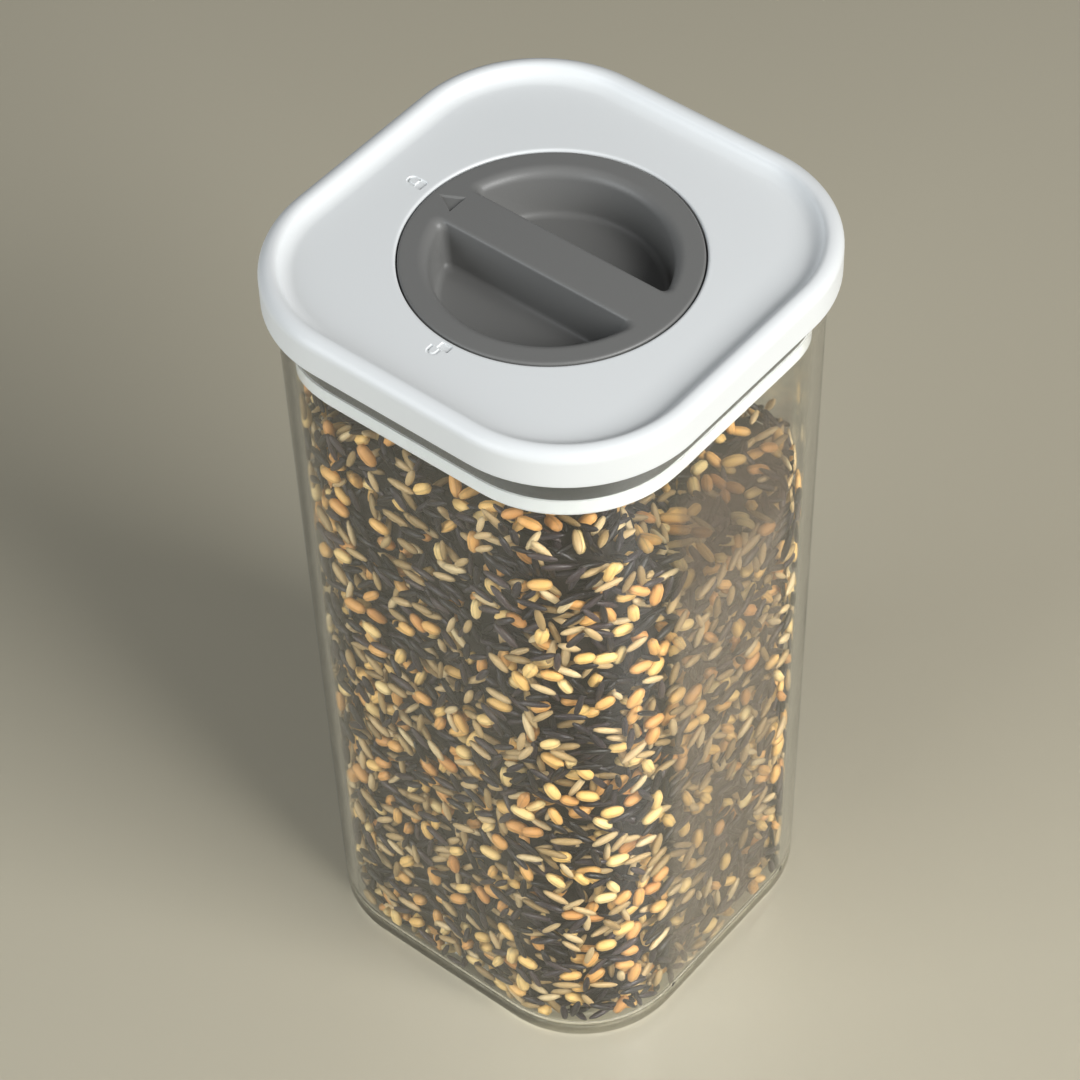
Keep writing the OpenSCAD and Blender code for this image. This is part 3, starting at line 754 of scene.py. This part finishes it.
# How far from the knob's axis each sign starts, where it stands round the knob in degrees,
# and how far its shackle is shifted to one side
closed_sign, open_sign = (34.5, 180, 0), (33.4, 270, -lock_half)
for start, degrees, shift in (closed_sign, open_sign):
    carved(lid_cover, sign_cutter(lambda spread: lock_body(start, spread), degrees))
    carved(lid_cover, sign_cutter(lambda spread: lock_shackle(start, shift, spread), degrees))
smoothed(lid_cover.data)
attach(lid_cover, "lid")
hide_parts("lid_cover")


# Knob
# Grey ABS with a fine eroded finish, one moulding: a round face flush with the lid, two
# finger wells with a grip bar between them, and a cup below that carries the cam pins.

grey_abs = moulded("grey ABS, fine eroded", "#777775", 0.42, depth=0.16)

ring_width = 4
well_r = knob_r - ring_width
bar_flat = 9.7
well_depth = 11.5
flare_r = 2.5
bar_edge_r = 0.8
well_foot_r = 1.5
face_edge = 0.6
corner_top = 2
corner_shrink = 0.3
arc_draft = 1
bar_draft = 0.9
corner_steps = 16
arc_steps = 72
bar_steps = 32


def well_outline(reach, line, corner):
    """Outline of one finger well, anticlockwise: a corner circle, the big arc round the
    knob's axis, the other corner, and the straight side along the bar. The corner circles
    touch the line y = line and, from inside, the circle of radius reach."""
    across, up = math.sqrt((reach - corner) ** 2 - (line + corner) ** 2), line + corner
    tangent = math.degrees(math.atan2(up, across))
    straight = np.linspace(-across, across, bar_steps + 1)[1:-1]
    return np.concatenate([
        arc(across, up, corner, -90, tangent, corner_steps),
        arc(0, 0, reach, tangent, 180 - tangent, arc_steps)[1:-1],
        arc(-across, up, corner, 180 - tangent, 270, corner_steps),
        np.stack([straight, np.full(len(straight), line)], 1)])


def half_disc(radius, reach, line, corner):
    """The edge of half the knob's face, with one point for each point of the well's outline:
    the corner circles' middle points fall on the ends of the straight side."""
    across = math.sqrt((reach - corner) ** 2 - (line + corner) ** 2)
    tangent = math.degrees(math.atan2(line + corner, across))
    half = corner_steps // 2
    out = np.linspace(across, radius, half + 1)
    straight = np.linspace(-across, across, bar_steps + 1)[1:-1]
    return np.concatenate([
        np.stack([out, np.zeros(half + 1)], 1),
        arc(0, 0, radius, 0, tangent, half)[1:],
        arc(0, 0, radius, tangent, 180 - tangent, arc_steps)[1:-1],
        arc(0, 0, radius, 180 - tangent, 180, half),
        np.stack([-out[::-1], np.zeros(half + 1)], 1)[1:],
        np.stack([straight, np.zeros(len(straight))], 1)])


def round_inset(depth, radius):
    """How far a rounded edge of that radius has drawn in at a depth: √(r² - (r - depth)²)."""
    return math.sqrt(radius ** 2 - (radius - min(max(depth, 0), radius)) ** 2)


def wall_inset(depth, edge_r, total):
    """How far a well's side has drawn in at a depth: rounded edge, drafted wall, round foot."""
    drafted = total * max(0, depth - edge_r) / (well_depth - edge_r)
    return round_inset(depth, edge_r) + drafted + well_foot_r - round_inset(well_depth - depth, well_foot_r)


def level_outline(depth):
    in_arc = wall_inset(depth, flare_r, arc_draft)
    in_bar = wall_inset(depth, bar_edge_r, bar_draft)
    flat = well_outline(well_r - in_arc, bar_flat / 2 + in_bar, corner_top - corner_shrink * in_bar)
    return np.column_stack([flat, np.full(len(flat), plate_z - depth)])


depths = np.concatenate([flare_r * (1 - np.cos(np.radians(np.arange(0, 91, 7.5)))),
                         np.linspace(flare_r, well_depth - well_foot_r, 7)[1:-1],
                         well_depth - well_foot_r * (1 - np.sin(np.radians(np.arange(0, 91, 11.25))))])
wells = np.array([level_outline(depth) for depth in depths])
face_r = knob_r - face_edge
edge_points = half_disc(face_r, well_r, bar_flat / 2, corner_top)
edge_row = np.column_stack([edge_points, np.full(len(edge_points), plate_z)])
face_rows = np.array([edge_row, edge_row * 0.85 + wells[0] * 0.15, edge_row * 0.1 + wells[0] * 0.9])
half_points, half_faces = skin(np.concatenate([face_rows, wells]), last=True)
on_rim = np.abs(np.hypot(*edge_points.T) - face_r) < 0.0001
rim_turns = np.arctan2(edge_points[on_rim, 1], edge_points[on_rim, 0])
rim_turns = np.sort(rim_turns[rim_turns < np.pi - 0.0001])
rim_turns = np.concatenate([rim_turns, rim_turns + np.pi])
rim_units = np.stack([np.cos(rim_turns), np.sin(rim_turns)], 1)

cup_low = cad_size("knob")[0][2]
cup_r = 28.3
cup_inside = 26.2
flange_under = plate_z - 3
groove_low = 198.25
groove_high = 199.55
groove_r = 27.4
cup_ceiling = plate_z - well_depth - 1.6
knob_outside = np.concatenate([
    [[0.5, cup_ceiling], [cup_inside, cup_ceiling], [cup_inside, cup_low], [cup_r, cup_low],
     [cup_r, groove_low], [groove_r, groove_low], [groove_r, groove_high], [cup_r, groove_high],
     [cup_r, flange_under], [knob_r, flange_under]],
    arc(face_r, plate_z - face_edge, face_edge, 0, 90, 8)])
knob_rows = swept(held(knob_outside), (np.zeros_like(rim_units), rim_units))
knob_part = joined([(half_points, half_faces), (turned(half_points, 180), half_faces),
                    skin(knob_rows, first=True)])
knob = mesh_piece("grey_knob", knob_part, grey_abs)


def merged(piece):
    """Joins the points that coincide."""
    shape = bmesh.new()
    shape.from_mesh(piece.data)
    bmesh.ops.remove_doubles(shape, verts=shape.verts, dist=0.002 * millimetre)
    shape.to_mesh(piece.data)
    shape.free()


merged(knob)
# The pointer is a triangle engraved 0.45 mm deep, its walls sloped and its rim broken. Each
# level is a height from the knob's face and the outline's scale there, about its middle.
pointer_tip = 1.6 - knob_r
pointer_length = 5.3
pointer_half = 2.9
pointer_levels = [(-0.45, 0.78), (-0.16, 0.88), (0, 1), (0.06, 1.05)]
triangle = np.array([[0, 0], [pointer_length, -pointer_half], [pointer_length, pointer_half]])
triangle = triangle + [pointer_tip, 0]
middle = triangle.mean(0)
pointer_rows = np.array([
    np.column_stack([middle + (triangle - middle) * scale, np.full(len(triangle), plate_z + level)])
    for level, scale in pointer_levels])
carved(knob, skin(pointer_rows, first=True, last=True))
smoothed(knob.data)
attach(knob, "knob")
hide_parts("knob")


# Gasket
# A hollow-backed ring of dark grey silicone between frame and plate. Squeezed, it bulges
# against the canister's wall.

silicone = moulded("dark grey silicone, moulded", "#4b4d4d", 0.5, grain=0.2)
band_top, seat_z = cad_size("gasket")[0][2], cad_size("gasket")[1][2]
gasket_reach = cad_size("gasket")[1][0] - corner_at
gasket_t = 3.5
gasket_inside = gasket_reach - gasket_t
half_height = (seat_z - band_top) / 2
middle_z = band_top + half_height
bulge = 0.7
bulge_r = (half_height ** 2 + bulge ** 2) / (2 * bulge)
spread = math.degrees(math.asin(half_height / bulge_r))
groove = 1.1
gasket_profile = np.concatenate([
    arc(gasket_reach - bulge_r, middle_z, bulge_r, -spread, spread, 12),
    [[gasket_inside, seat_z], [gasket_inside, middle_z + half_height / 2],
     [gasket_inside + groove, middle_z],
     [gasket_inside, middle_z - half_height / 2], [gasket_inside, band_top]]])
gasket = mesh_piece("silicone_gasket", skin(swept(gasket_profile, path), ring=True), silicone)
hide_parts("gasket")
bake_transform(gasket)


# Frame, plate and fastenings
# The mouldings and hardware inside the lid keep the CAD's own shapes, each with the finish of
# its material: white polypropylene, acetal, stainless steel.


def turned_steel(name, tint, roughness):
    """Bright stainless steel: a grey mirror, softened by small marks about 0.2 mm apart."""
    steel = new_material(name)
    place = add(steel, "ShaderNodeTexCoord")
    marks = add(steel, "ShaderNodeTexNoise", {"Scale": 1 / (0.6 * millimetre), "Detail": 2},
                {"Vector": place.outputs["Object"]})
    rough = add(steel, "ShaderNodeMapRange", {"To Min": roughness - 0.08, "To Max": roughness + 0.1},
                {"Value": marks.outputs["Fac"]})
    surface = add(steel, "ShaderNodeBsdfPrincipled", {"Base Color": colour(tint), "Metallic": 1},
                  {"Roughness": rough.outputs[0]})
    add(steel, "ShaderNodeOutputMaterial", links={"Surface": surface.outputs[0]})
    return steel


white_pp = moulded("white polypropylene, moulded", "#dfe2e3", 0.38)
natural_acetal = moulded("natural acetal, moulded", "#d9d6c9", 0.3)
black_acetal = moulded("black acetal, die cut", "#26262a", 0.4)
steel = turned_steel("stainless steel, drawn", "#b9b9b6", 0.3)
finishes = {"lid_frame": white_pp, "pressure_plate": white_pp, "plate_cover": white_pp,
            "cam_ring": natural_acetal, "slip_washer": black_acetal, "frame_screws": steel,
            "cam_screws": steel, "cam_pins": steel, "knob_clip_ring": steel}
for node, finish in finishes.items():
    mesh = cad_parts[node].data
    mesh.materials.clear()
    mesh.materials.append(finish)


# Floor, light and camera
# A plain beige table top, a soft lamp like a window to the right, a weaker one in front and to
# the left, and a camera with a long lens that looks down at the front corner.

# Smooth varnish: the table's far parts mirror the lamps as a broad, soft sheen
table_top = new_material("beige table top, satin")
table_place = add(table_top, "ShaderNodeTexCoord")
table_noise = add(table_top, "ShaderNodeTexNoise", {"Scale": 3, "Detail": 2},
                  {"Vector": table_place.outputs["Object"]})
table_ramp = add(table_top, "ShaderNodeValToRGB", links={"Fac": table_noise.outputs["Fac"]})
table_ramp.color_ramp.elements[0].color = colour("#beb7a2")
table_ramp.color_ramp.elements[1].color = colour("#c5bea9")
table_shader = add(table_top, "ShaderNodeBsdfPrincipled", {"Roughness": 0.3},
                   {"Base Color": table_ramp.outputs[0]})
add(table_top, "ShaderNodeOutputMaterial", links={"Surface": table_shader.outputs[0]})
table_half = 2500
table_corners = np.array([[-1, -1, 0.0], [1, -1, 0], [1, 1, 0], [-1, 1, 0]]) * table_half
table = mesh_piece("table_top", (table_corners, [np.array([[0, 1, 2, 3]])]), table_top)

world = bpy.data.worlds.new("room")
world.use_nodes = True
world.node_tree.nodes["Background"].inputs["Color"].default_value = colour("#f7f8fa")
world.node_tree.nodes["Background"].inputs["Strength"].default_value = 0.14
bpy.context.scene.world = world

# The lamps and the camera are placed in metres
aim_height = 0.12


def put(thing, sideways, upwards, backwards, place):
    """Links a lamp or a camera and places it: its own axes are the three given directions,
    and it looks against the last."""
    bpy.context.scene.collection.objects.link(thing)
    upper_rows = np.column_stack([sideways, upwards, backwards, place])
    thing.matrix_world = Matrix(np.vstack([upper_rows, [0, 0, 0, 1]]).tolist())


def soft_lamp(name, azimuth, elevation, distance, width, power, tint):
    """A square lamp that faces the canister's middle from a direction: azimuth 0 is +X and
    turns anticlockwise. Its place is distance × (cos cos, sin cos, sin) from there."""
    lamp = bpy.data.lights.new(name, "AREA")
    lamp.size = width
    lamp.energy = power
    lamp.color = colour(tint)[:3]
    a, e = math.radians(azimuth), math.radians(elevation)
    direction = np.array([math.cos(a) * math.cos(e), math.sin(a) * math.cos(e), math.sin(e)])
    sideways = np.array([-math.sin(a), math.cos(a), 0])
    put(bpy.data.objects.new(name, lamp), sideways, np.cross(direction, sideways), direction,
        direction * distance + [0, 0, aim_height])


soft_lamp("window", azimuth=0, elevation=35.5, distance=1.1, width=0.6, power=12.9, tint="#ffffff")
soft_lamp("fill", azimuth=-108, elevation=20, distance=1.3, width=0.9, power=9.5, tint="#f5faff")

# The camera's place, roll and lens were fitted to the object's outlines
camera_distance = 0.74464
camera_azimuth = math.radians(40.01)
camera_elevation = math.radians(43.19)
camera_roll = math.radians(-2.07)
aim_right, aim_up = -0.0056, -0.0796
back = np.array([math.sin(camera_azimuth) * math.cos(camera_elevation),
                 -math.cos(camera_azimuth) * math.cos(camera_elevation), math.sin(camera_elevation)])
place = back * camera_distance + [0, 0, plate_z * millimetre]
right = np.cross(-back, [0, 0, 1])
right /= np.linalg.norm(right)
forward = -back + right * aim_right + np.cross(right, -back) * aim_up
forward /= np.linalg.norm(forward)
right = np.cross(forward, [0, 0, 1])
right /= np.linalg.norm(right)
upward = np.cross(right, forward)
c, s = math.cos(camera_roll), math.sin(camera_roll)
right, upward = c * right + s * upward, c * upward - s * right
lens = bpy.data.cameras.new("camera")
lens.lens = 119.346
lens.sensor_width = 36
lens.sensor_fit = "HORIZONTAL"
lens.clip_end = 20
camera = bpy.data.objects.new("camera", lens)
put(camera, right, upward, -forward, place)
bpy.context.scene.camera = camera
bpy.context.scene.view_settings.view_transform = "Standard"
